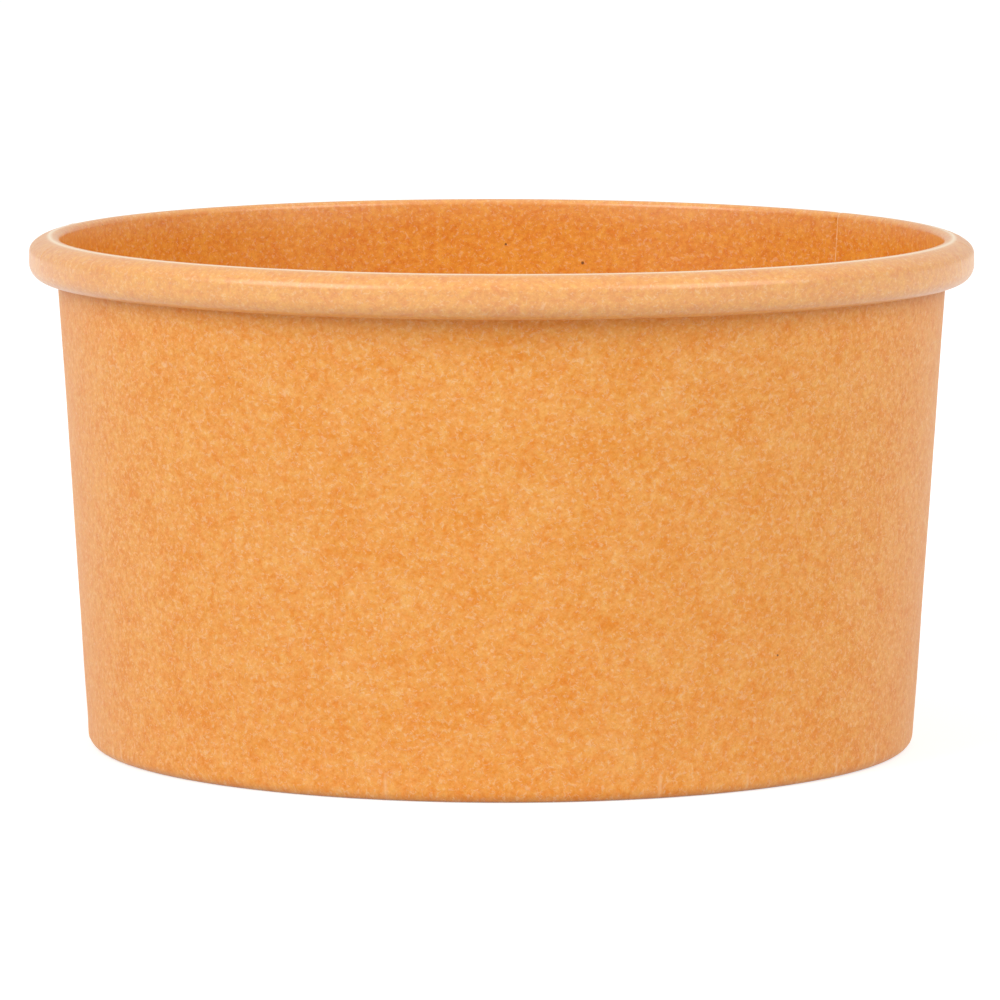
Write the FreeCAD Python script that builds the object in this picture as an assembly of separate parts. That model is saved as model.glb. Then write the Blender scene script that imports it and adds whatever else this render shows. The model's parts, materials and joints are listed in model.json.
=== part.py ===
"""Paper ice cream tub: a fan of kraft board wrapped into a slightly tapered wall, and a round
board base set up inside it.

The wall's top edge is rolled outwards into a rim, its bottom edge is folded inwards and up as a
hem, and its two side edges overlap in one sealed lap. The base is a disc whose edge is bent down
into a skirt, and the hem holds that skirt against the wall.

Millimetres. The origin is the middle of the foot, on the surface that the tub stands on, and +Z
points up out of the mouth. Azimuths are counted from +X towards +Y.
"""
import FreeCAD
import Part
import math
import os

# Overall sizes
rim_diameter = 90.0  # across the rolled rim
tub_height = 48.7  # from the foot to the top of the rim
foot_diameter = 78.9  # across the wall's outer face, carried on down to the foot

# Board
wall_board = 0.40  # thickness of the coated board of the wall
base_board = 0.35  # thickness of the coated board of the base

# Rolled rim, its radii measured on the coated face, which the roll turns outwards
roll_height = 4.1  # from the underside of the roll to its top
crest_radius = 0.60  # bend from the wall into the top of the roll
shoulder_slope = 42.0  # degrees that the top of the roll falls before its shoulder
shoulder_radius = 1.05  # bend from the top of the roll into its upright outer face
under_radius = 1.60  # bend from the outer face into the underside
under_flat = 0.25  # level stretch of the underside
tuck_radius = 0.75  # bend that tucks the raw edge up inside the roll
tuck_rise = 1.0  # length of the raw edge that stands inside the roll
tuck_gap = 0.05  # clearance between the tucked edge and the wall

# Hem at the foot
corner_radius = 1.10  # outer radius of the bend from the wall into the foot
fold_radius = 0.65  # outer radius of the bend from the foot up into the hem
foot_flat = 0.25  # width of the level ring that the tub stands on
hem_rise = 5.0  # height of the hem's raw edge above the foot
hem_flare = 28.0  # degrees between the hem's pressed part and its lower part
crease_radius = 1.0  # bend between those two parts, on the coated face

# Base
base_recess = 6.0  # height of the base's underside above the foot
base_bend = 0.80  # bend from the base's top face into its skirt
skirt_gap = 0.30  # from the corner's bend up to the skirt's raw edge

# Side lap
lap_azimuth = 38.1  # degrees, where the inner layer's cut edge lies
lap_width = 7.0  # overlap of the two layers
lap_ramp = 1.6  # stretch over which the outer layer climbs onto the inner one
lap_step = 0.30  # height of the inner layer's cut edge inside, where the lap is pressed
lap_sink = 0.10  # how far the lap's shapes reach past the faces that they are joined to or cut
lap_feather = 0.02  # thickness left where the outer layer's climb runs out
groove_width = 0.25  # hairline gap that the cut edge leaves in the roll
groove_depth = 0.12

FULL_TURN = 360.0
QUARTER_TURN = 90.0


def point(radius, height):
    """A point of the section, which is drawn in the XZ plane."""
    return FreeCAD.Vector(radius, 0, height)


def direction(degrees):
    """A unit vector of the section: 0 points outwards and 90 points up."""
    angle = math.radians(degrees)
    return point(math.cos(angle), math.sin(angle))


def left_of(heading):
    """A unit vector that points to the left of a heading."""
    return direction(heading + QUARTER_TURN)


def turned(shape, degrees):
    """The shape turned about the tub's axis."""
    copy = shape.copy()
    copy.rotate(point(0, 0), FreeCAD.Vector(0, 0, 1), degrees)
    return copy


def spun(face, start, sweep):
    """The solid that a section face makes when it is turned about the axis, from one azimuth."""
    solid = face.revolve(point(0, 0), FreeCAD.Vector(0, 0, 1), sweep)
    return turned(solid, start)


class SheetPath:
    """The way that one face of a bent board takes through the section.

    The path follows the coated face, which lies to the left of the way that it runs. It is made
    of straights and bends, and each can be drawn again at an offset to the right of the path, so
    that any layer of the board can be made from it.
    """

    def __init__(self, start, heading):
        self.at = start
        self.heading = heading
        self.stretches = []

    def straight(self, length):
        begin = self.at
        self.at = begin + direction(self.heading) * length
        self.stretches.append(("straight", begin, self.at, left_of(self.heading)))

    def bend(self, radius, turn):
        """Turns left for a positive angle and right for a negative one."""
        side = math.copysign(1, turn)
        centre = self.at + left_of(self.heading) * (side * radius)
        begin_heading = self.heading
        self.heading += turn
        self.at = centre - left_of(self.heading) * (side * radius)
        self.stretches.append(("bend", centre, radius, side, begin_heading, turn))

    def edges(self, offset):
        """The path's edges, moved to its right by an offset."""
        made = []
        for stretch in self.stretches:
            if stretch[0] == "straight":
                begin, end, left = stretch[1:]
                made.append(Part.LineSegment(begin - left * offset, end - left * offset).toShape())
                continue
            centre, radius, side, heading, turn = stretch[1:]
            reach = side * radius + offset
            ends = [centre - left_of(heading + turn * share) * reach for share in (0, 0.5, 1)]
            made.append(Part.Arc(*ends).toShape())
        return made

    def face(self, near, far):
        """The closed face between two offsets to the right of the path."""
        near_edges = self.edges(near)
        far_edges = self.edges(far)
        first_cap = Part.LineSegment(far_edges[0].firstVertex().Point, near_edges[0].firstVertex().Point)
        last_cap = Part.LineSegment(near_edges[-1].lastVertex().Point, far_edges[-1].lastVertex().Point)
        loop = [first_cap.toShape()] + near_edges + [last_cap.toShape()] + far_edges[::-1]
        return Part.Face(Part.Wire(Part.__sortEdges__(loop)))


# Places in the section that several pieces share
rim_radius = rim_diameter / 2
foot_radius = foot_diameter / 2
roll_underside = tub_height - roll_height


def wall_draft():
    """Degrees that the wall leans outwards, so that the rim's tucked edge lies along it."""
    tuck_centre_radius = rim_radius - under_radius - under_flat
    run = tuck_centre_radius - foot_radius
    rise = roll_underside + tuck_radius
    clear = tuck_radius + tuck_gap
    return math.degrees(math.acos(clear / math.hypot(rise, run)) - math.atan2(rise, run))


draft = wall_draft()
lean = math.tan(math.radians(draft))
level_share = 1 / math.cos(math.radians(draft))  # a wall's level width over its thickness
wall_heading = QUARTER_TURN - draft


def outer_radius(height, inwards=0.0):
    """Radius at a height of the wall's outer face, or of a face that far inside it."""
    return foot_radius + height * lean - inwards * level_share


def inner_radius(height):
    """Radius of the wall's coated inner face at a height."""
    return outer_radius(height, wall_board)


def corner_centre():
    """Centre of the bend from the wall into the foot."""
    return point(outer_radius(corner_radius, corner_radius), corner_radius)


def crest_centre():
    """Centre of the bend from the wall into the top of the roll."""
    height = tub_height - crest_radius
    return point(inner_radius(height) + crest_radius * level_share, height)


def add_hem(path):
    """From the hem's raw edge down inside the foot, round the fold and into the wall."""
    coated_radius = fold_radius - wall_board
    flare_heading = -QUARTER_TURN - draft - hem_flare
    fold_centre = point(corner_centre().x - foot_flat, fold_radius)
    flare_end = fold_centre - left_of(flare_heading) * coated_radius
    spread = flare_end - point(outer_radius(flare_end.z, wall_board + base_board), flare_end.z)
    away = spread.dot(left_of(wall_heading))
    flare_length = away / math.sin(math.radians(hem_flare))
    crease = flare_end - direction(flare_heading) * flare_length
    crease_reach = crease_radius * math.tan(math.radians(hem_flare) / 2)
    pressed_length = (path.at - crease).Length
    path.straight(pressed_length - crease_reach)
    path.bend(crease_radius, -hem_flare)
    path.straight(flare_length - crease_reach)
    path.bend(coated_radius, -flare_heading)
    path.straight(foot_flat)
    path.bend(corner_radius - wall_board, wall_heading)


def add_wall(path):
    """Straight up the wall to where the rim's roll begins."""
    roll_begins = crest_centre() + left_of(wall_heading) * crest_radius
    path.straight((roll_begins - path.at).Length)


def add_roll(path):
    """Over the top, down the outer face and back under to where the raw edge tucks in."""
    slope = math.radians(shoulder_slope)
    top_reach = rim_radius - crest_centre().x - shoulder_radius * (1 - math.sin(slope))
    top_radius = top_reach / math.sin(slope)
    fall = top_radius * (1 - math.cos(slope)) + shoulder_radius * math.cos(slope)
    path.bend(crest_radius, -wall_heading)
    path.bend(top_radius, -shoulder_slope)
    path.bend(shoulder_radius, shoulder_slope - QUARTER_TURN)
    path.straight(roll_height - fall - under_radius)
    path.bend(under_radius, -QUARTER_TURN)
    path.straight(under_flat)


def add_tuck(path):
    """Up inside the roll, beside the wall, to the raw edge."""
    path.bend(tuck_radius, -QUARTER_TURN - draft)
    path.straight(tuck_rise)


def wall_path():
    """The whole board of the wall, from the hem's raw edge to the roll's."""
    hem_top = point(outer_radius(hem_rise, wall_board + base_board), hem_rise)
    path = SheetPath(hem_top, -QUARTER_TURN - draft)
    add_hem(path)
    add_wall(path)
    add_roll(path)
    add_tuck(path)
    return path


def arc_degrees(length):
    """The angle that a length spans on the wall's outer face, at half the tub's height."""
    return math.degrees(length / outer_radius(tub_height / 2))


ramp_sweep = arc_degrees(lap_ramp)


def lap_section(thickness):
    """The outer layer of the lap, up into the bend of the tucked edge.

    At the foot it ends where its bend would reach below the surface that the tub stands on.
    """
    wrap = math.degrees(math.asin(corner_radius / (corner_radius + wall_board)))
    coated_radius = corner_radius - wall_board
    path = SheetPath(corner_centre() + direction(-wrap) * coated_radius, QUARTER_TURN - wrap)
    path.bend(coated_radius, wrap - draft)
    path.straight((roll_underside + tuck_radius - path.at.z) * level_share)
    return path.face(wall_board - lap_sink, wall_board + thickness)


def along_ramp(near, far):
    """The solid between two outlines: one at the cut edge and one where the ramp ends."""
    outlines = [turned(near, lap_azimuth), turned(far, lap_azimuth + ramp_sweep)]
    return Part.makeLoft(outlines, True, True)


def lap_climb():
    """Outside, where the outer layer climbs onto the inner one."""
    return along_ramp(lap_section(wall_board).OuterWire, lap_section(lap_feather).OuterWire)


def recess_outline(depth):
    """The space inside the wall's coated face that reaches a depth into the board."""
    heights = (base_recess + base_board - base_bend, crest_centre().z + lap_sink)
    low, high = [(point(inner_radius(height) - lap_sink, height),
                  point(inner_radius(height) + depth * level_share, height)) for height in heights]
    return Part.makePolygon([low[0], low[1], high[1], high[0], low[0]])


def lap_recess():
    """Inside, between the inner layer's cut edge and the other layer, above the base."""
    return along_ramp(recess_outline(lap_step), recess_outline(-lap_sink / 2))


def roll_groove():
    """The hairline gap that the inner layer's cut edge leaves over the roll."""
    path = SheetPath(crest_centre() + left_of(wall_heading) * crest_radius, wall_heading)
    add_roll(path)
    sweep = arc_degrees(groove_width)
    return spun(path.face(-groove_depth, groove_depth), lap_azimuth, sweep)


def side_wall():
    """The wrapped board: hem, wall, rolled rim and side lap, in one piece."""
    sheet = spun(wall_path().face(0, wall_board), lap_azimuth, FULL_TURN)
    lap_sweep = arc_degrees(lap_width)
    lap_layer = spun(lap_section(wall_board), lap_azimuth - lap_sweep, lap_sweep)
    wrapped = sheet.fuse([lap_layer, lap_climb()]).cut([lap_recess(), roll_groove()])
    return wrapped.removeSplitter().Solids[0]


def base():
    """The round base, its skirt bent down and pressed against the wall."""
    top = base_recess + base_board
    flat_radius = inner_radius(top - base_bend) - base_bend * level_share
    path = SheetPath(point(0, top), 0)
    path.straight(flat_radius)
    path.bend(base_bend, -QUARTER_TURN - draft)
    path.straight((path.at.z - corner_radius - skirt_gap) * level_share)
    return spun(path.face(0, base_board), 0, FULL_TURN).Solids[0]


pieces = {
    "side_wall": side_wall(),
    "base": base(),
}
os.makedirs("parts", exist_ok=True)
for name, solid in pieces.items():
    solid.exportStep(f"parts/{name}.step")
    box = solid.optimalBoundingBox()
    print(
        f"{name}: valid {solid.isValid()}, {solid.Volume:.1f} mm3,"
        f" {box.XLength:.2f} x {box.YLength:.2f} x {box.ZLength:.2f} mm"
    )
print(f"wall leans outwards {draft:.2f} degrees")
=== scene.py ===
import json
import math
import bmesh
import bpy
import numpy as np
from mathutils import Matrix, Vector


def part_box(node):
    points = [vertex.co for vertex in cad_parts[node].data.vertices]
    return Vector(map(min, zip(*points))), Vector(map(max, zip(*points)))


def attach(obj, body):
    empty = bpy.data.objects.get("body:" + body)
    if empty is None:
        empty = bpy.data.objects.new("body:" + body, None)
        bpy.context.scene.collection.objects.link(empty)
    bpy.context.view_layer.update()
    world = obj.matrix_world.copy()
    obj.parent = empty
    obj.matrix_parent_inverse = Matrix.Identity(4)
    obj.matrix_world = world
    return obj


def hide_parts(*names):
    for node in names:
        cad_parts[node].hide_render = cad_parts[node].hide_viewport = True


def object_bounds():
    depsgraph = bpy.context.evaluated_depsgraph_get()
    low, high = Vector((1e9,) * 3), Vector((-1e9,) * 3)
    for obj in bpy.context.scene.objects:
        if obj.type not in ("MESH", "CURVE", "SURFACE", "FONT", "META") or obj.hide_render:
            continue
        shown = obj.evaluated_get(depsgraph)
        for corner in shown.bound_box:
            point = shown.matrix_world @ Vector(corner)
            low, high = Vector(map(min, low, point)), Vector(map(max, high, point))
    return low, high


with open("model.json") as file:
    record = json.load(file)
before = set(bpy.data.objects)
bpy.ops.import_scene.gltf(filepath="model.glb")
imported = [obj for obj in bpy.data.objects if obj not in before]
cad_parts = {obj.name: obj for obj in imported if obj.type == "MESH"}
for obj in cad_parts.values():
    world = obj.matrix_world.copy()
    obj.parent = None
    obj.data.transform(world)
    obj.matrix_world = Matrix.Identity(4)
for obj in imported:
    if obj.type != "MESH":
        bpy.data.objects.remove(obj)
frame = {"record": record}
cad_low, cad_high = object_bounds()

# %% [markdown]
# # A paper ice cream tub
# The tub is two pieces of brown kraft board. The wall is one sheet, wrapped round, rolled over
# at the rim and folded in at the foot. The base is a disc held in that fold. Both are made here
# as real sheets, so the rim is hollow and every raw edge shows the board's thickness.
# One face of the board carries a thin clear film, which keeps the ice cream's wet out. It is
# the inner face, and because the rim rolls outwards it is also the face that the rim shows.

MM = 0.001
print("box of the packed model in mm:", [round(v / MM, 2) for v in (*cad_low, *cad_high)])

# %% [markdown]
# ## The sizes
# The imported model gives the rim, the height and the base. The board and its bends are the
# sizes that a maker would set on the machines, in millimetres.

# %% Sizes of the board and its bends, in millimetres
mounts = {mount["name"]: mount for mount in frame["record"]["mounts"]}
rim_radius = mounts["lid_seat"]["dims"]["r_mm"]
tub_height = cad_high.z / MM
foot_radius = 78.9 / 2
wall_board = 0.40
base_board = 0.35

roll_height = 4.1
crest_radius = 0.60
shoulder_slope = 42.0
shoulder_radius = 1.05
under_radius = 1.60
under_flat = 0.25
tuck_radius = 0.75
tuck_rise = 1.0
tuck_gap = 0.05

corner_radius = 1.10
fold_radius = 0.65
foot_flat = 0.25
hem_rise = 5.0
hem_flare = 28.0
crease_radius = 1.0

base_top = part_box("base")[1].z / MM
base_bend = 0.80
skirt_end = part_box("base")[0].z / MM

lap_azimuth = 38.1
lap_width = 7.0
lap_ramp = 1.2
lap_step = 0.18
roll_step = 0.10

RIGHT_ANGLE = 90.0
tuck_centre = rim_radius - under_radius - under_flat
rise = tub_height - roll_height + tuck_radius
run = tuck_centre - foot_radius
tuck_reach = (tuck_radius + tuck_gap) / math.hypot(rise, run)
draft = math.degrees(math.acos(tuck_reach) - math.atan2(rise, run))
level_share = 1 / math.cos(math.radians(draft))
wall_heading = RIGHT_ANGLE - draft
print(f"the wall leans outwards {draft:.2f} degrees")

# %% [markdown]
# ## The way of a board through its section
# A bent board is easy to describe as a walk: so far straight on, then a bend of this radius
# through that many degrees. The walk follows the coated face. The other face is the same walk
# moved over by the board's thickness, so both faces and both raw edges come from one list.

# %% Walking along a section
def direction(degrees):
    return np.array((math.cos(math.radians(degrees)), math.sin(math.radians(degrees))))


def left_of(heading):
    return direction(heading + RIGHT_ANGLE)


def outer_radius(height, inwards=0.0):
    """Radius of the wall's outer face at a height, or of a face that far inwards of it."""
    return foot_radius + height * math.tan(math.radians(draft)) - inwards * level_share


def walk(start, heading, moves):
    """Points along the moves, with their headings. A move is its name, its length or radius, the
    degrees that it turns and its steps."""
    at = np.array(start, float)
    passed = [(at, heading, moves[0][0])]
    for name, size, turn, steps in moves:
        side = math.copysign(1, turn)
        centre = at + left_of(heading) * side * size
        for step in range(1, steps + 1):
            if turn:
                way = heading + turn * step / steps
                place = centre - left_of(way) * side * size
            else:
                way = heading
                place = at + direction(heading) * size * step / steps
            passed.append((place, way, name))
        at, heading = passed[-1][:2]
    return passed


# %% The wall's walk, from the hem's raw edge to the roll's
foot_zone = 3.2


def wall_walk():
    coated_fold = fold_radius - wall_board
    corner = np.array((outer_radius(corner_radius, corner_radius), corner_radius))
    flare_heading = -RIGHT_ANGLE - draft - hem_flare
    fold_centre = np.array((corner[0] - foot_flat, fold_radius))
    flare_end = fold_centre - left_of(flare_heading) * coated_fold
    pressed_radius = outer_radius(flare_end[1], wall_board + base_board)
    away = (flare_end - np.array((pressed_radius, flare_end[1]))) @ left_of(wall_heading)
    flare = away / math.sin(math.radians(hem_flare))
    crease_at = flare_end - direction(flare_heading) * flare
    crease_reach = crease_radius * math.tan(math.radians(hem_flare) / 2)
    hem_top = np.array((outer_radius(hem_rise, wall_board + base_board), hem_rise))
    pressed = np.linalg.norm(hem_top - crease_at) - crease_reach

    crest_height = tub_height - crest_radius
    crest_reach = outer_radius(crest_height, wall_board) + crest_radius * level_share
    crest = np.array((crest_reach, crest_height))
    wall_begins = corner + direction(-draft) * (corner_radius - wall_board)
    wall_length = np.linalg.norm(crest + left_of(wall_heading) * crest_radius - wall_begins)

    slope = math.radians(shoulder_slope)
    top_reach = rim_radius - crest[0] - shoulder_radius * (1 - math.sin(slope))
    top_radius = top_reach / math.sin(slope)
    fall = top_radius * (1 - math.cos(slope)) + shoulder_radius * math.cos(slope)
    return walk(hem_top, -RIGHT_ANGLE - draft, [
        ("hem", pressed, 0, 2),
        ("hem", crease_radius, -hem_flare, 3),
        ("hem", flare - crease_reach, 0, 2),
        ("fold", coated_fold, -flare_heading, 6),
        ("fold", foot_flat, 0, 1),
        ("corner", corner_radius - wall_board, wall_heading, 7),
        ("wall", foot_zone, 0, 8),
        ("wall", wall_length - foot_zone, 0, 20),
        ("crest", crest_radius, -wall_heading, 7),
        ("roll", top_radius, -shoulder_slope, 6),
        ("roll", shoulder_radius, shoulder_slope - RIGHT_ANGLE, 6),
        ("roll", roll_height - fall - under_radius, 0, 3),
        ("roll", under_radius, -RIGHT_ANGLE, 8),
        ("roll", under_flat, 0, 1),
        ("tuck", tuck_radius, -RIGHT_ANGLE - draft, 4),
        ("tuck", tuck_rise, 0, 1),
    ])


# %% The base's walk, from its middle to its skirt's raw edge
def base_walk():
    flat = outer_radius(base_top - base_bend, wall_board) - base_bend * level_share
    bend_drop = base_bend * (1 + math.sin(math.radians(draft)))
    return walk((0, base_top), 0, [
        ("flat", flat, 0, 16),
        ("bend", base_bend, -RIGHT_ANGLE - draft, 6),
        ("skirt", (base_top - bend_drop - skirt_end) * level_share, 0, 4),
    ])


# %% [markdown]
# ## Two guides
# Geometry Nodes will wrap the board, and two small guide meshes tell it how: bare points, with
# what the tree must know about each of them. One guide goes through the section, up the coated
# face and back down the plain one. The other goes round the tub, and crowds its points where the
# lap and the creases need them.

# %% Making a guide out of points and their marks
def guide_object(name, places, marks, pulls=None):
    mesh = bpy.data.meshes.new(name)
    mesh.from_pydata([tuple(place) for place in places], [], [])
    for label, values in marks.items():
        values = np.asarray(values, np.float32)
        mesh.attributes.new(label, "FLOAT", "POINT").data.foreach_set("value", values)
    if pulls is not None:
        pulls = np.asarray(pulls, np.float32)
        stored = mesh.attributes.new("pull", "FLOAT_VECTOR", "POINT")
        stored.data.foreach_set("vector", pulls.ravel())
    guide = bpy.data.objects.new(name, mesh)
    bpy.context.scene.collection.objects.link(guide)
    return guide


# %% The guide through a section
def section_guide(name, passed, board, sink_of=None, lift_of=None):
    """pull points from the plain face to the coated one, along is the walk in mm, and sink and
    lift say how much of the lap's steps shows at each point."""
    places = np.array([place for place, way, stretch in passed])
    pulls = np.array([left_of(way) for place, way, stretch in passed])
    along = np.concatenate(([0], np.cumsum(np.linalg.norm(np.diff(places, axis=0), axis=1))))
    none = [0.0] * len(places)
    sink = [sink_of(stretch, place) for place, way, stretch in passed] if sink_of else none
    lift = [lift_of(stretch, place) for place, way, stretch in passed][::-1] if lift_of else none
    both = np.vstack((places, (places - pulls * board)[::-1]))
    pull = np.vstack((pulls, pulls[::-1]))
    print(f"{name}: {len(both)} points, {along[-1]:.1f} mm of board")
    return guide_object(name, [(r, 0, z) for r, z in both], {
        "along": np.concatenate((along, along[::-1])),
        "plain": np.repeat((0.0, 1.0), len(places)),
        "sink": sink + none,
        "lift": none + lift,
    }, np.column_stack((pull[:, 0], np.zeros(len(pull)), pull[:, 1])))


def wall_sink(stretch, place):
    """How much of the lap's inside step shows: all of it on the wall, little where it is rolled."""
    if stretch == "wall":
        return 1.0 if place[1] > base_top else 0.0
    return roll_step / lap_step if stretch in ("crest", "roll") else 0.0


def wall_lift(stretch, place):
    """The lap's outer layer shows on the wall's outside, up to where the roll hides it."""
    return float(stretch == "wall" and place[1] < tub_height - roll_height + wall_board)


# %% The guide round the tub, from the lap's inner cut edge all the way to it again
# Close points lie this far from a crease's middle, in mm, and at these shares of the way down
# the lap's soft step. None lies within a hair or two of a cut edge, which has places of its own.
crowd_offsets = (-0.45, -0.25, -0.12, 0, 0.12, 0.25, 0.45)
ramp_shares = (0.1, 0.2, 0.3, 0.45, 0.6, 0.8, 1.0)
hair = 0.01


def round_guide(name, radius, pitch, lap=None, crowd=()):
    """Points at distances round the tub, in mm at a radius. Two points share a place at each cut
    edge of a lap. lap gives its width, its step's ramp and how far in its raw edges are soft.
    crowd gives distances that need close points round them."""
    circle = math.tau * radius
    stations = list(np.linspace(0, circle, round(circle / pitch) + 1)[:-1])
    for place in crowd:
        stations += [(place + offset) % circle for offset in crowd_offsets]
    if lap:
        width, ramp, soft = lap
        stations += [ramp * share for share in ramp_shares]
        stations += [circle - soft, circle - width + soft]
    stations = np.unique(np.round(stations, 3))
    stations = [s for s in stations if s < circle - hair]
    side, edge = [0.0] * len(stations), [0.0] * len(stations)
    if lap:
        before = [s for s in stations if s < circle - width - 2 * hair]
        after = [s for s in stations if s > circle - width + 2 * hair]
        stations = before + [circle - width] * 2 + after + [circle]
        side = [0.0] * (len(before) + 1) + [1.0] * (len(after) + 2)
        edge = [0.0] * len(before) + [-1.0] * 2
        inner, outer = circle - soft - hair, circle - width + soft + hair
        edge += [1.0 if s > inner else -1.0 if s < outer else 0.0 for s in after + [circle]]
    stations = np.array(stations + [0.0])
    side = np.array(side + [0.0])
    edge = np.array(edge + [bool(lap)])
    left = 1 - np.clip(stations / lap[1], 0, 1) if lap else np.zeros(len(stations))
    left = left * left * (3 - 2 * left)
    print(f"{name}: {len(stations)} points round {circle:.1f} mm")
    return guide_object(name, [(s, 0, 0) for s in stations], {
        "azimuth": stations / radius,
        "station": stations,
        "side": side,
        "edge": edge,
        "step": left * (1 - side),
        "layer": np.maximum(left, side),
    })


# %% [markdown]
# ## One helper for every node
# A node tree is a list of small steps, so one function adds a node, sets it up and wires it.

# %% Adding a node
MATH = "ShaderNodeMath"
VECTOR_MATH = "ShaderNodeVectorMath"


def add(tree, kind, wires=(), **settings):
    """Adds a node. wires gives its inputs, in order or by name, as values, nodes or sockets."""
    node = tree.nodes.new(kind)
    for key, value in settings.items():
        setattr(node, key, value)
    for key, value in (wires.items() if isinstance(wires, dict) else enumerate(wires)):
        if isinstance(value, bpy.types.Node):
            value = value.outputs[0]
        if isinstance(value, bpy.types.NodeSocket):
            tree.links.new(value, node.inputs[key])
        else:
            node.inputs[key].default_value = value
    return node


# %% [markdown]
# ## Wrapping the board
# The tree lays out a grid, with one row for each point of the section's guide and one column for
# each point of the guide that goes round. Then it moves every point of the grid to its place. The
# lap's steps are moves along the board's normal, and a slow noise keeps the board from being
# truer than a real one. A screw modifier could turn a section round too, but it couldn't step
# the board down over its own lap.

# %% Reading a guide
def guide_value(tree, guide, label, index, data_type="FLOAT"):
    """What a guide says at an index, for every point of the grid."""
    named = add(tree, "GeometryNodeInputNamedAttribute", {"Name": label}, data_type=data_type)
    return add(tree, "GeometryNodeSampleIndex", {"Geometry": guide, "Value": named, "Index": index},
               data_type=data_type)


# %% The tree's inputs
def wrap_inputs(tree):
    sockets = {
        "NodeSocketGeometry": ("Section",),
        "NodeSocketObject": ("Round",),
        "NodeSocketFloat": ("Start azimuth", "Inside step", "Outside step", "Circle", "Waviness"),
        "NodeSocketMaterial": ("Coated", "Plain", "Cut edge"),
    }
    for kind, labels in sockets.items():
        for label in labels:
            tree.interface.new_socket(label, in_out="INPUT", socket_type=kind)
    tree.interface.new_socket("Board", in_out="OUTPUT", socket_type="NodeSocketGeometry")
    return tree.nodes.new("NodeGroupInput").outputs


# %% The tree that wraps a board
# The larger the circle that is read in the noise, the more waves there are round the tub.
wave_circle = 2.0
waves_per_mm = 0.05
steady_foot = 6.0
merge_distance = 0.002


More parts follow.
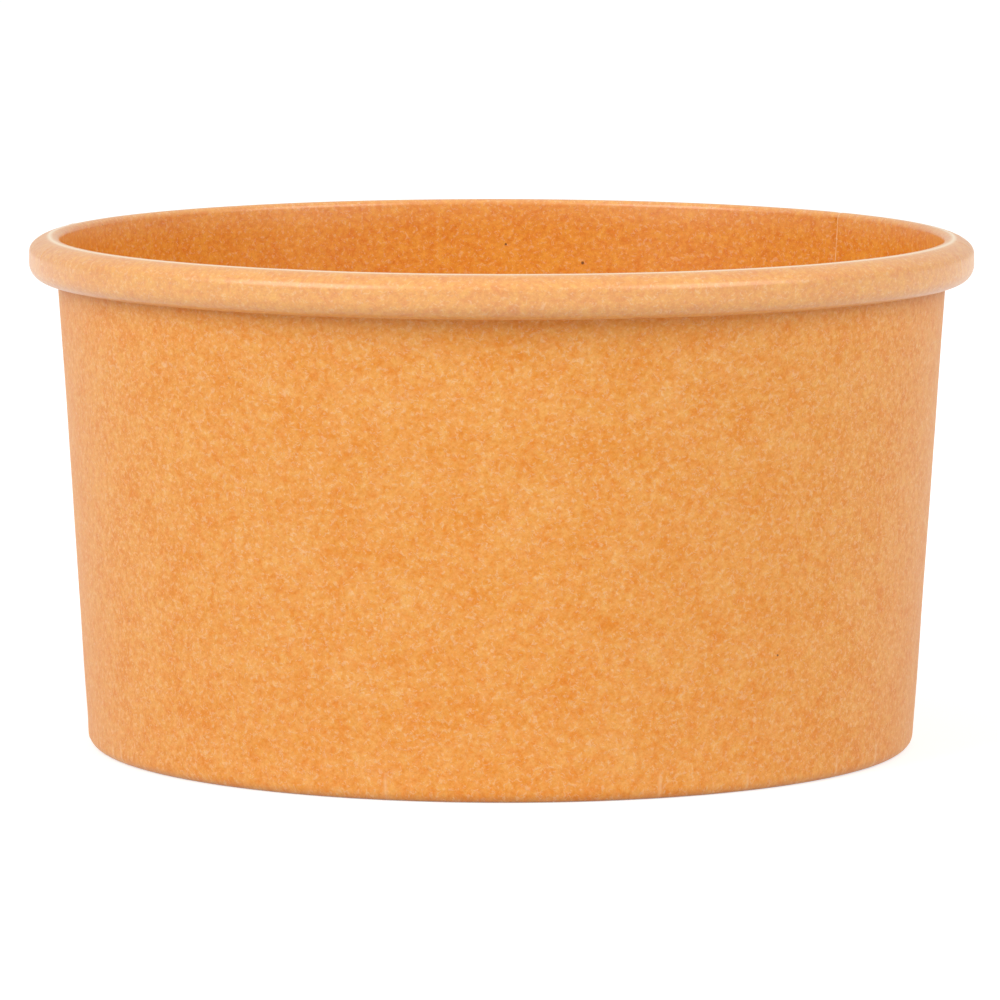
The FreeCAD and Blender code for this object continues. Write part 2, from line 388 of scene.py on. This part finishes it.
def wrap_tree():
    tree = bpy.data.node_groups.new("Wrap a board", "GeometryNodeTree")
    given = wrap_inputs(tree)
    section = given["Section"]
    circle = add(tree, "GeometryNodeObjectInfo", {"Object": given["Round"]}).outputs["Geometry"]

    # A grid, and the row and column of each of its points. The last row repeats the first.
    points = add(tree, "GeometryNodeAttributeDomainSize", {"Geometry": section})
    columns = add(tree, "GeometryNodeAttributeDomainSize", {"Geometry": circle})
    rows = add(tree, MATH, (points, 1), operation="ADD")
    grid = add(tree, "GeometryNodeMeshGrid", {"Vertices X": columns, "Vertices Y": rows})
    index = add(tree, "GeometryNodeInputIndex")
    column = add(tree, MATH, (index, rows), operation="DIVIDE")
    column = add(tree, MATH, (column,), operation="FLOOR")
    row = add(tree, MATH, (index, rows), operation="MODULO")
    row = add(tree, MATH, (row, points), operation="MODULO")
    turned = add(tree, MATH, (guide_value(tree, circle, "azimuth", column), given["Start azimuth"]),
                 operation="ADD")

    # The lap: how far the coated face sinks and the plain face lifts, both along -pull.
    sink = add(tree, MATH, operation="MULTIPLY", wires=(
        guide_value(tree, section, "sink", row), guide_value(tree, circle, "step", column)))
    lift = add(tree, MATH, operation="MULTIPLY", wires=(
        guide_value(tree, section, "lift", row), guide_value(tree, circle, "layer", column)))
    lifted = add(tree, MATH, (lift, given["Outside step"]), operation="MULTIPLY")
    moved = add(tree, MATH, (sink, given["Inside step"], lifted), operation="MULTIPLY_ADD")
    pull = guide_value(tree, section, "pull", row, "FLOAT_VECTOR")
    position = add(tree, "GeometryNodeInputPosition")
    place = add(tree, "GeometryNodeSampleIndex",
                {"Geometry": section, "Value": position, "Index": row}, data_type="FLOAT_VECTOR")
    back = add(tree, VECTOR_MATH, {0: pull, "Scale": moved}, operation="SCALE")
    stepped = add(tree, VECTOR_MATH, (place, back), operation="SUBTRACT")

    # The waves: a slow noise in and out, read on a small circle so that it closes on itself,
    # and none of it where the foot stands.
    height = add(tree, "ShaderNodeSeparateXYZ", (place,)).outputs["Z"]
    spot = add(tree, "ShaderNodeVectorRotate", {"Vector": (wave_circle, 0.0, 0.0), "Angle": turned},
               rotation_type="Z_AXIS")
    up = add(tree, MATH, (height, waves_per_mm), operation="MULTIPLY")
    slow = add(tree, "ShaderNodeTexNoise", {"Vector": spot, "W": up, "Scale": 1.0, "Detail": 2.0},
               noise_dimensions="4D")
    free = add(tree, "ShaderNodeMapRange", {"Value": height, "From Max": steady_foot},
               interpolation_type="SMOOTHSTEP")
    share = add(tree, MATH, (slow, 0.5), operation="SUBTRACT")
    share = add(tree, MATH, (share, free), operation="MULTIPLY")
    share = add(tree, MATH, (share, given["Waviness"]), operation="MULTIPLY")
    out = add(tree, "ShaderNodeCombineXYZ", (share,))
    waved = add(tree, VECTOR_MATH, (stepped, out), operation="ADD")

    # Round to its azimuth, with the board's normal turned the same way.
    spun = add(tree, "ShaderNodeVectorRotate", {"Vector": waved, "Angle": turned},
               rotation_type="Z_AXIS")
    spun_pull = add(tree, "ShaderNodeVectorRotate", {"Vector": pull, "Angle": turned},
                    rotation_type="Z_AXIS")
    board = add(tree, "GeometryNodeSetPosition",
                {"Geometry": grid.outputs["Mesh"], "Position": spun})

    # The place on the flat board, which the materials read. On the plain face the sheet runs on
    # through the inner cut edge and starts at the outer one, a whole turn earlier.
    plain = guide_value(tree, section, "plain", row)
    side = guide_value(tree, circle, "side", column)
    station = guide_value(tree, circle, "station", column)
    along = guide_value(tree, section, "along", row)
    outside = add(tree, MATH, (plain, side), operation="MULTIPLY")
    turn_back = add(tree, MATH, (outside, given["Circle"]), operation="MULTIPLY")
    across = add(tree, MATH, (station, turn_back), operation="SUBTRACT")
    flat_place = add(tree, "ShaderNodeCombineXYZ", (across, along, plain))
    for label, value in (("board_mm", flat_place), ("sheet_normal", spun_pull)):
        board = add(tree, "GeometryNodeStoreNamedAttribute",
                    {"Geometry": board, "Name": label, "Value": value},
                    data_type="FLOAT_VECTOR", domain="POINT")

    # Finishes, face by face, from the mean of each face's points. A face between the two sides,
    # or between points that share a place at a cut edge, is raw board.
    edge = guide_value(tree, circle, "edge", column)
    plain_face, edge_face = (
        add(tree, "GeometryNodeFieldOnDomain", (value,), data_type="FLOAT", domain="POINT")
        for value in (plain, edge))
    sign = add(tree, MATH, (plain_face, -2.0, 1.0), operation="MULTIPLY_ADD")
    lap_edge = add(tree, MATH, (edge_face, sign), operation="MULTIPLY")
    lap_edge = add(tree, MATH, (lap_edge, 0.9), operation="GREATER_THAN")
    raw_edge = add(tree, MATH, (plain_face, 0.5, 0.3), operation="COMPARE")
    cut = add(tree, MATH, (lap_edge, raw_edge), operation="MAXIMUM")
    is_plain = add(tree, MATH, (plain_face, 0.5), operation="GREATER_THAN")
    board = add(tree, "GeometryNodeSetMaterial", {"Geometry": board, "Material": given["Coated"]})
    for chosen, finish in ((is_plain, "Plain"), (cut, "Cut edge")):
        board = add(tree, "GeometryNodeSetMaterial",
                    {"Geometry": board, "Selection": chosen, "Material": given[finish]})
    board = add(tree, "GeometryNodeMergeByDistance",
                {"Geometry": board, "Distance": merge_distance})
    board = add(tree, "GeometryNodeTransform", {"Geometry": board, "Scale": (MM, MM, MM)})
    board = add(tree, "GeometryNodeSetShadeSmooth", {"Geometry": board})
    board = add(tree, "GeometryNodeRealizeInstances", {"Geometry": board})
    add(tree, "NodeGroupOutput", (board,))
    print("tree", tree.name, "with", len(tree.nodes), "nodes")
    return tree


# %% Turning two guides and the tree into a plain mesh
# Bends are shaded smooth, and edges that turn more than this stay crisp.
crisp_from = math.radians(50)


def wrapped(name, section, circle, tree, values):
    """The mesh that the tree makes, as an object of its own, closed and facing outwards."""
    modifier = section.modifiers.new("wrap", "NODES")
    modifier.node_group = tree
    values = {"Round": circle, **values}
    for item in tree.interface.items_tree:
        if item.in_out == "INPUT" and item.name in values:
            modifier[item.identifier] = values[item.name]
    graph = bpy.context.evaluated_depsgraph_get()
    mesh = bpy.data.meshes.new_from_object(section.evaluated_get(graph), depsgraph=graph)
    section.modifiers.remove(modifier)
    for guide in (section, circle):
        bpy.data.objects.remove(guide)
    mesh.name = name
    work = bmesh.new()
    work.from_mesh(mesh)
    loose = [edge for edge in work.edges if not edge.link_faces]
    bmesh.ops.delete(work, geom=loose, context="EDGES")
    bmesh.ops.recalc_face_normals(work, faces=work.faces)
    open_edges = sum(1 for edge in work.edges if len(edge.link_faces) != 2)
    volume = work.calc_volume(signed=True) / MM ** 3
    work.to_mesh(mesh)
    work.free()
    mesh.set_sharp_from_angle(angle=crisp_from)
    piece = bpy.data.objects.new(name, mesh)
    bpy.context.scene.collection.objects.link(piece)
    triangles = sum(len(face.vertices) - 2 for face in mesh.polygons)
    print(f"{name}: {triangles} triangles, {open_edges} open edges, {volume:.0f} mm3")
    return piece


# %% [markdown]
# ## The finishes
# Kraft board keeps the colour of the wood, because its pulp isn't bleached. Close to, it is a felt
# of brown fibres: slow clouds a few millimetres wide where the pulp lies thicker, mottling of
# about a millimetre, curled fibres a tenth of a millimetre wide, and a few dark specks of bark.
# An image could give that felt, but it would repeat itself and blur. So all of it is noise of
# those sizes, apart from three specks at set places. It is read from the place on the flat board,
# so it bends with the board. Where the board is stretched or creased it turns pale, and the rim
# gets a painted sheen and a painted highlight on its crest and wrinkles in the same way. The mesh
# says how much.

# %% Colour
# A mix node has sockets for numbers, vectors and colours, so its colour ones go by their place.
MIX = "ShaderNodeMix"
NOISE = "ShaderNodeTexNoise"
RANGE = "ShaderNodeMapRange"
FIRST, SECOND, MIXED = 6, 7, 2


def linear(code):
    """A linear colour from an sRGB hex code."""
    parts = [int(code[i:i + 2], 16) / 255 for i in (0, 2, 4)]
    return [p / 12.92 if p <= 0.04045 else ((p + 0.055) / 1.055) ** 2.4 for p in parts] + [1.0]


# %% Thick and thin pulp: clouds some 5 mm wide, and mottle of 0.7 mm
clouds_per_mm = 0.2
cloud_share = 0.25
mottle_per_mm = 1.35
thick_pulp = 0.48
thin_pulp = 0.77


def pulp_ground(tree, place, deep, light):
    """The colour of the felt itself, from thick pulp to thin."""
    clouds = add(tree, NOISE,
                 {"Vector": place, "Scale": clouds_per_mm, "Detail": 2.0, "Roughness": 0.6})
    mottle = add(tree, NOISE, {"Vector": place, "Scale": mottle_per_mm, "Detail": 5.0,
                               "Roughness": 0.8, "Distortion": 0.4})
    both = add(tree, MATH, (clouds, cloud_share, mottle), operation="MULTIPLY_ADD")
    thin = add(tree, RANGE, {"Value": both, "From Min": thick_pulp, "From Max": thin_pulp})
    return add(tree, MIX, {"Factor": thin, FIRST: linear(deep), SECOND: linear(light)},
               data_type="RGBA").outputs[MIXED]


# %% Curled fibres
# A fibre is a contour line of a noise, cut short by a second one: dark where it lies under, pale
# where it lies on top. Real ones are 0.03 mm wide, too fine to show, so they are drawn at 0.1 mm.
curls_per_mm = 1.6
cuts_per_mm = 2.2
fibre_fades, fibre_full = 0.08, 0.02
fibre_kinds = (
    {"level": 0.58, "gone": 0.48, "whole": 0.38, "share": 0.22, "tint": "D0701C"},
    {"level": 0.50, "gone": 0.50, "whole": 0.60, "share": 0.26, "tint": "F8DCB8"},
)


def pulp_fibres(tree, place, colour):
    """The colour with its fibres, and the fibres on top, which stand out a little."""
    curls = add(tree, NOISE,
                {"Vector": place, "Scale": curls_per_mm, "Detail": 1.0, "Distortion": 1.5})
    cuts = add(tree, NOISE, {"Vector": place, "Scale": cuts_per_mm, "Detail": 1.0})
    for kind in fibre_kinds:
        off = add(tree, MATH, (curls, kind["level"]), operation="SUBTRACT")
        off = add(tree, MATH, (off,), operation="ABSOLUTE")
        line = add(tree, RANGE, {"Value": off, "From Min": fibre_fades, "From Max": fibre_full})
        length = add(tree, RANGE,
                     {"Value": cuts, "From Min": kind["gone"], "From Max": kind["whole"]})
        fibre = add(tree, MATH, (line, length), operation="MULTIPLY")
        part = add(tree, MATH, (fibre, kind["share"]), operation="MULTIPLY")
        colour = add(tree, MIX, {"Factor": part, FIRST: colour, SECOND: linear(kind["tint"])},
                     data_type="RGBA").outputs[MIXED]
    return colour, fibre


# %% Paler board: stretched or creased, where the fibres part and scatter the light, and the rim's painted sheen and highlight
wear_and_highlight_share = 0.6
wear_and_highlight_pale = "FADEB8"


def paled_by_wear_and_highlight(tree, colour):
    """The colour, paler where the mesh says that the board has been worked, and on the rim where
    it carries a painted sheen and highlight.
    """
    rub_and_highlight = add(tree, "ShaderNodeAttribute", attribute_name="rub_and_highlight").outputs["Fac"]
    pale = add(tree, MATH, (rub_and_highlight, wear_and_highlight_share), operation="MULTIPLY", use_clamp=True)
    return add(tree, MIX, {"Factor": pale, FIRST: colour, SECOND: linear(wear_and_highlight_pale)},
               data_type="RGBA").outputs[MIXED]


# %% Grains of bark: in some cells of a Voronoi pattern, and a few darker ones at set places
bark_cells_per_mm = 0.55
bark_lot = 0.75
bark_reach, bark_fade = 0.09, 0.03
bark_share, speck_share = 0.45, 0.85
bark_brown, speck_brown = "A8591C", "4A2C14"


def pulp_bark(tree, place, colour, specks):
    """The colour with its grains of bark. Set specks are soft over the outer half of a radius."""
    cells = add(tree, "ShaderNodeTexVoronoi",
                {"Vector": place, "Scale": bark_cells_per_mm, "Randomness": 1.0})
    lot = add(tree, "ShaderNodeSeparateXYZ", (cells.outputs["Color"],))
    size = add(tree, RANGE,
               {"Value": lot, "From Min": bark_lot, "From Max": 1.0, "To Max": bark_reach})
    dot = add(tree, MATH, (size, cells.outputs["Distance"]), operation="SUBTRACT")
    dark = add(tree, RANGE, {"Value": dot, "From Max": bark_fade, "To Max": bark_share})
    colour = add(tree, MIX, {"Factor": dark, FIRST: colour, SECOND: linear(bark_brown)},
                 data_type="RGBA").outputs[MIXED]
    for spot, radius in specks:
        away = add(tree, VECTOR_MATH, (place, spot), operation="DISTANCE").outputs["Value"]
        dark = add(tree, RANGE, {"Value": away, "From Min": radius, "From Max": radius / 2,
                                 "To Max": speck_share})
        colour = add(tree, MIX, {"Factor": dark, FIRST: colour, SECOND: linear(speck_brown)},
                     data_type="RGBA").outputs[MIXED]
    return colour


# %% Fine grain in brightness and relief, and a slow drift between redder and yellower pulp
grains_per_mm = 5.5
tones_per_mm = 0.8
grain_change = 0.1
hue_change = 0.01
grain_relief = 0.5


def pulp_grain(tree, place, colour, fibre):
    """The colour with its grain, and the height of the surface."""
    grain = add(tree, NOISE, {"Vector": place, "Scale": grains_per_mm, "Detail": 1.0})
    tone = add(tree, NOISE,
               {"Vector": place, "Scale": tones_per_mm, "Detail": 3.0, "Roughness": 0.8})
    value = add(tree, RANGE,
                {"Value": grain, "To Min": 1 - grain_change, "To Max": 1 + grain_change})
    hue = add(tree, RANGE, {"Value": tone, "To Min": 0.5 - hue_change, "To Max": 0.5 + hue_change})
    colour = add(tree, "ShaderNodeHueSaturation", {"Color": colour, "Hue": hue, "Value": value})
    relief = add(tree, MATH, (grain, grain_relief, fibre), operation="MULTIPLY_ADD")
    return colour, relief


# %% A finish of kraft pulp
def kraft_finish(name, deep, light, relief_height, specks=(), **surface):
    """deep and light are the colours of thick and thin pulp, relief_height is in mm, specks are
    the set grains of bark, and surface holds the skin's own values."""
    material = bpy.data.materials.new(name)
    material.use_nodes = True
    tree = material.node_tree
    tree.nodes.clear()
    place = add(tree, "ShaderNodeAttribute", attribute_name="board_mm").outputs["Vector"]
    colour = pulp_ground(tree, place, deep, light)
    colour, fibre = pulp_fibres(tree, place, colour)
    colour = paled_by_wear_and_highlight(tree, colour)
    colour = pulp_bark(tree, place, colour, specks)
    colour, relief = pulp_grain(tree, place, colour, fibre)
    bump = add(tree, "ShaderNodeBump",
               {"Height": relief, "Distance": relief_height * MM, "Strength": 1.0})
    values = {label.replace("_", " "): value for label, value in surface.items()}
    skin = add(tree, "ShaderNodeBsdfPrincipled", {"Base Color": colour, "Normal": bump, **values})
    add(tree, "ShaderNodeOutputMaterial", (skin,))
    print("finish:", name, "with", len(tree.nodes), "nodes")
    return material


# %% [markdown]
# ## Creases
# Board doesn't bend round two ways at once without a protest. Where the foot is folded in, its
# edge has too much length, so it gathers in small upright pleats. Where the rim is rolled, the
# film wrinkles. They could be painted on, but a crease is light on one side and dark on the
# other, so each one here moves both faces of the board together. Each is also painted paler: the
# pleats for their rubbed fibres, and the rim's wrinkles for rubbed film and a painted highlight.

# %% Where a place round the tub, or up its wall, is on the flat board in millimetres
reference_radius = outer_radius(tub_height / 2)
wall_passed = wall_walk()


def station_of(azimuth):
    """Distance on the flat board from the lap's inner cut edge to an azimuth."""
    return math.radians((azimuth - lap_azimuth) % 360) * reference_radius


def along_at(stretch, share):
    """Distance along the walk at a share of the way through one of its stretches."""
    places = np.array([place for place, way, name in wall_passed])
    walked = np.concatenate(([0], np.cumsum(np.linalg.norm(np.diff(places, axis=0), axis=1))))
    inside = [w for w, (place, way, name) in zip(walked, wall_passed) if name == stretch]
    return inside[0] + (inside[-1] - inside[0]) * share


# %% Pleats at the foot: the photograph's own first, in degrees round, then some behind
foot_start, wall_start = along_at("corner", 0.0), along_at("wall", 0.0)
seen_pleats = [254.6, 291.6, 305.0, 322.0]
behind_from, behind_to, pleats_behind = -30, 220, 16
pleat_reach, pleat_width, pleat_depth = (0.5, 1.8), (0.12, 0.22), (0.03, 0.06)
pleat_rub = 0.5
draw = np.random.default_rng(27)
creases = []
for azimuth in seen_pleats + list(draw.uniform(behind_from, behind_to, pleats_behind)):
    creases.append({
        "azimuth": azimuth, "from": foot_start, "to": wall_start + draw.uniform(*pleat_reach),
        "width": draw.uniform(*pleat_width), "height": -draw.uniform(*pleat_depth),
        "slant": 0.0, "rub_and_highlight": pleat_rub})
print(len(creases), "pleats at the foot")

# %% Wrinkles on the rim: the photograph's own at its two ends first, then some behind
crest_start, crest_end = along_at("crest", 0.0), along_at("crest", 1.0)
seen_wrinkles = [343.0, 352.0, 196.0, 187.0]
rear_from, rear_to, wrinkles_behind = 5, 175, 7
wrinkle_start, wrinkle_length, wrinkle_width = (0.5, 4.5), (1.5, 3.5), (0.12, 0.2)
wrinkle_height, wrinkle_slant = (0.03, 0.06), (-0.25, 0.25)
# The rim's wrinkles are paler: partly rubbed film, partly a painted highlight along each one.
wrinkle_rub_and_highlight = 0.6
for azimuth in seen_wrinkles + list(draw.uniform(rear_from, rear_to, wrinkles_behind)):
    start = crest_start + draw.uniform(*wrinkle_start)
    creases.append({
        "azimuth": azimuth, "from": start, "to": start + draw.uniform(*wrinkle_length),
        "width": draw.uniform(*wrinkle_width), "height": draw.uniform(*wrinkle_height),
        "slant": draw.uniform(*wrinkle_slant), "rub_and_highlight": wrinkle_rub_and_highlight})
print(len(creases), "creases in all")

# %% [markdown]
# ## Three finishes of one board
# The board is the same pulp all through. Its outside is bare, its inside is under a film, and its
# cut edges show the loose middle. So one function makes all three, and only colour, relief and
# the skin's own values change. Three specks of bark are set where the photograph shows them, and
# for that their places on the tub are turned into places on the flat board.

# %% Specks of bark that the photograph shows: azimuth in degrees, height and radius in mm
plain_specks = [(309.2, 12.6, 0.13)]
coated_specks = [(78.7, 42.4, 0.2), (89.4, 44.2, 0.15)]


def on_board(specks, plain):
    """The specks' places on the flat board, with their radii."""
    heights = [place[1] for place, way, name in wall_passed if name == "wall"]
    wall_high = heights[-1] - heights[0]
    placed = []
    for azimuth, height, radius in specks:
        along = along_at("wall", (height - heights[0]) / wall_high)
        placed.append(((station_of(azimuth), along, plain), radius))
    print(len(placed), "set specks on the", "plain face" if plain else "coated face")
    return placed


# %% The three finishes of this board
finishes = {
    # Calendered but uncoated: matte, and paler at a low angle.
    "Plain": kraft_finish("Uncoated kraft board", "E18720", "ECA858", relief_height=0.012,
                          specks=on_board(plain_specks, 1.0),
                          Roughness=0.5, IOR=1.4, Sheen_Weight=0.1, Sheen_Roughness=0.5),
    # Under a thin clear film: a deeper colour, and a smooth skin that mirrors at low angles.
    "Coated": kraft_finish("Film coated kraft board", "D97B0A", "EBA138", relief_height=0.010,
                           specks=on_board(coated_specks, 0.0),
                           Roughness=0.5, IOR=1.4, Specular_IOR_Level=0.0, Coat_Weight=1.0,
                           Coat_Roughness=0.3, Coat_IOR=1.55),
    # Cut through: loose pale fibres and no film.
    "Cut edge": kraft_finish("Cut edge of kraft board", "E9A762", "F7CC9C", relief_height=0.02,
                             Roughness=0.8, IOR=1.4),
}

# %% Pressing the creases into the board, and marking what the roll has stretched, with its painted sheen and highlight
# The tight bend at the top of the rim gets a pale line about 0.4 mm wide: a painted highlight along
# the crest.
# The whole roll is painted paler too: partly its stretch, partly a painted sheen of its film.
roll_stretch_and_sheen = 0.32
roll_pale_fade = 0.6
crest_highlight_paint = 1.5
crest_highlight_line = crest_end + 0.35
crest_highlight_width = 0.22


def press(piece):
    """Moves the board's points at the creases, and stores how much paler each point is: rubbed and
    stretched board, and the rim's painted sheen and highlight.
    """
    mesh = piece.data
    count = len(mesh.vertices)
    place, board, normal = (np.zeros(count * 3, np.float32) for kind in range(3))
    mesh.vertices.foreach_get("co", place)
    mesh.attributes["board_mm"].data.foreach_get("vector", board)
    mesh.attributes["sheet_normal"].data.foreach_get("vector", normal)
    place, board, normal = (values.reshape(-1, 3) for values in (place, board, normal))
    circle = math.tau * reference_radius
    along = board[:, 1]
    rub_and_highlight = roll_stretch_and_sheen * np.clip((along - crest_start) / roll_pale_fade + 0.5, 0, 1)
    rub_and_highlight += crest_highlight_paint * np.exp(-((along - crest_highlight_line) / crest_highlight_width) ** 2)
    for crease in creases:
        middle = (crease["from"] + crease["to"]) / 2
        off = board[:, 0] - station_of(crease["azimuth"]) - crease["slant"] * (along - middle)
        off = (off + circle / 2) % circle - circle / 2
        half = (crease["to"] - crease["from"]) / 2
        ends = np.clip(1 - (np.abs(along - middle) / half) ** 2, 0, 1)
        depth = np.exp(-(off / crease["width"]) ** 2) * ends
        place += normal * (depth * crease["height"] * MM)[:, None]
        rub_and_highlight = np.maximum(rub_and_highlight, depth * crease["rub_and_highlight"])
    mesh.vertices.foreach_set("co", place.ravel())
    mesh.attributes.new("rub_and_highlight", "FLOAT", "POINT").data.foreach_set("value", rub_and_highlight)
    mesh.update()
    print(f"{piece.name}: {int((rub_and_highlight > 0.1).sum())} points paled")


# %% [markdown]
# ## The base and the wall
# The base could be a plain cylinder. Wrapped by the same tree as the wall, it also gets the
# board's bend, finishes and raw edge. But a disc isn't rolled up from a strip. Its pulp lies flat
# and has no middle, so after the wrapping it gets the flat disc's own places to read. Then both
# pieces are made, each rides on the root, and the piece of the imported model that each replaces
# is hidden.

# %% Laying a disc's pulp out flat
# The disc comes from a part of the sheet well away from the wall's.
disc_sheet = np.array([400.0, 300.0])


def lay_flat(piece, top):
    """Gives each point its place on the flat disc. The skirt goes on outwards from the bend."""
    mesh = piece.data
    place, board = (np.zeros(len(mesh.vertices) * 3, np.float32) for kind in range(2))
    mesh.vertices.foreach_get("co", place)
    mesh.attributes["board_mm"].data.foreach_get("vector", board)
    place, board = place.reshape(-1, 3) / MM, board.reshape(-1, 3)
    radius = np.maximum(np.hypot(place[:, 0], place[:, 1]), 0.001)
    flat_radius = radius + top - place[:, 2]
    board[:, :2] = place[:, :2] * (flat_radius / radius)[:, None] + disc_sheet
    mesh.attributes["board_mm"].data.foreach_set("vector", board.ravel())
    print(f"{piece.name}: cut from a disc {2 * flat_radius.max():.1f} mm across")


# %% Making the wall
tree = wrap_tree()
full_circle = math.tau * reference_radius
lap_softness = 0.12
wall_waviness = 0.4
wall_pitch = 0.8
side_wall = wrapped(
    "wrapped_side_wall",
    section_guide("wall_section", wall_passed, wall_board, wall_sink, wall_lift),
    round_guide("wall_round", reference_radius, wall_pitch, (lap_width, lap_ramp, lap_softness),
                [station_of(crease["azimuth"]) for crease in creases]),
    tree, {
        "Start azimuth": math.radians(lap_azimuth), "Inside step": lap_step,
        "Outside step": wall_board, "Circle": full_circle, "Waviness": wall_waviness, **finishes})
press(side_wall)

# %% Making the base
base_pitch = 1.0
base = wrapped(
    "hemmed_in_base",
    section_guide("base_section", base_walk(), base_board),
    round_guide("base_round", reference_radius, base_pitch),
    tree, {"Start azimuth": 0.0, "Circle": full_circle, "Waviness": 0.0, **finishes})
lay_flat(base, base_top)

# %% Riding and replacing
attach(side_wall, "root")
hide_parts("side_wall")
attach(base, "root")
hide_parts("base")

# %% [markdown]
# ## The set
# A white floor in a white room, two soft lamps and the photograph's own long lens. What the
# camera and the glossy faces see of the room is plain white, and the light it gives is less, so
# that the tub's own shadows stay. The floor glows for the camera in the same way, and lights
# nothing with it.

# %% What only the camera and mirrorings see
def seen_directly(tree):
    """One for a ray from the camera or off a glossy face, and nought for any other."""
    path = add(tree, "ShaderNodeLightPath")
    return add(tree, MATH, (path.outputs["Is Camera Ray"], path.outputs["Is Glossy Ray"]),
               operation="MAXIMUM")


# %% Room
room_light = 0.63
world = bpy.data.worlds.new("White room")
bpy.context.scene.world = world
world.use_nodes = True
world.cycles.sampling_method = "NONE"
room = world.node_tree
room.nodes.clear()
strength = add(room, RANGE, {"Value": seen_directly(room), "To Min": room_light, "To Max": 1.0})
air = add(room, "ShaderNodeBackground", {"Strength": strength})
add(room, "ShaderNodeOutputWorld", (air,))
print("the room lights with", room_light, "of the white that it shows")

# %% Floor
floor_half = 6.0
floor_grey = 0.65
floor_glow = 0.6
corners = [(x * floor_half, y * floor_half, 0) for x, y in ((-1, -1), (1, -1), (1, 1), (-1, 1))]
floor_mesh = bpy.data.meshes.new("floor")
floor_mesh.from_pydata(corners, [], [(0, 1, 2, 3)])
floor = bpy.data.objects.new("floor", floor_mesh)
bpy.context.scene.collection.objects.link(floor)
paint = bpy.data.materials.new("White floor")
paint.use_nodes = True
paint.cycles.emission_sampling = "NONE"
layers = paint.node_tree
layers.nodes.clear()
strength = add(layers, MATH, (seen_directly(layers), floor_glow), operation="MULTIPLY")
glow = add(layers, "ShaderNodeEmission", {"Strength": strength})
matte = add(layers, "ShaderNodeBsdfDiffuse", {"Color": (floor_grey, floor_grey, floor_grey, 1)})
whole = add(layers, "ShaderNodeAddShader", (matte, glow))
add(layers, "ShaderNodeOutputMaterial", (whole,))
floor_mesh.materials.append(paint)
print("floor:", 2 * floor_half, "m across")


# %% Lamps
lamp_aim = Vector((0, 0, 0.03))


def softbox(name, place, size, watts):
    lamp = bpy.data.lights.new(name, "AREA")
    lamp.shape = "SQUARE"
    lamp.size = size
    lamp.energy = watts
    holder = bpy.data.objects.new(name, lamp)
    holder.location = place
    holder.rotation_euler = (lamp_aim - Vector(place)).to_track_quat("-Z", "Y").to_euler()
    bpy.context.scene.collection.objects.link(holder)
    print(f"{name}: {watts} W, {size} m across")


softbox("left_softbox", place=(-1.2, -0.95, 1.0), size=1.2, watts=20.5)
softbox("right_softbox", place=(1.25, -0.85, 1.0), size=1.2, watts=15.5)

# %% Camera, in metres and degrees, as fitted to the tub's outline in the photograph
camera_distance = 0.7240
camera_side = -0.00026
camera_height = 0.1093
camera_pitch = 6.783
camera_roll = -0.1
focal_px = 7613.7
frame_px = 1000
sensor_mm = 36.0
lens = bpy.data.cameras.new("camera")
lens.sensor_width = sensor_mm
lens.lens = focal_px * sensor_mm / frame_px
lens.clip_start = 0.01
lens.clip_end = 50.0
camera = bpy.data.objects.new("camera", lens)
camera.location = (camera_side, -camera_distance, camera_height)
camera.rotation_euler = (math.radians(RIGHT_ANGLE - camera_pitch), math.radians(camera_roll), 0)
bpy.context.scene.collection.objects.link(camera)
bpy.context.scene.camera = camera
bpy.context.scene.view_settings.view_transform = "Standard"
print(f"lens: {lens.lens:.0f} mm, {camera_distance} m away")
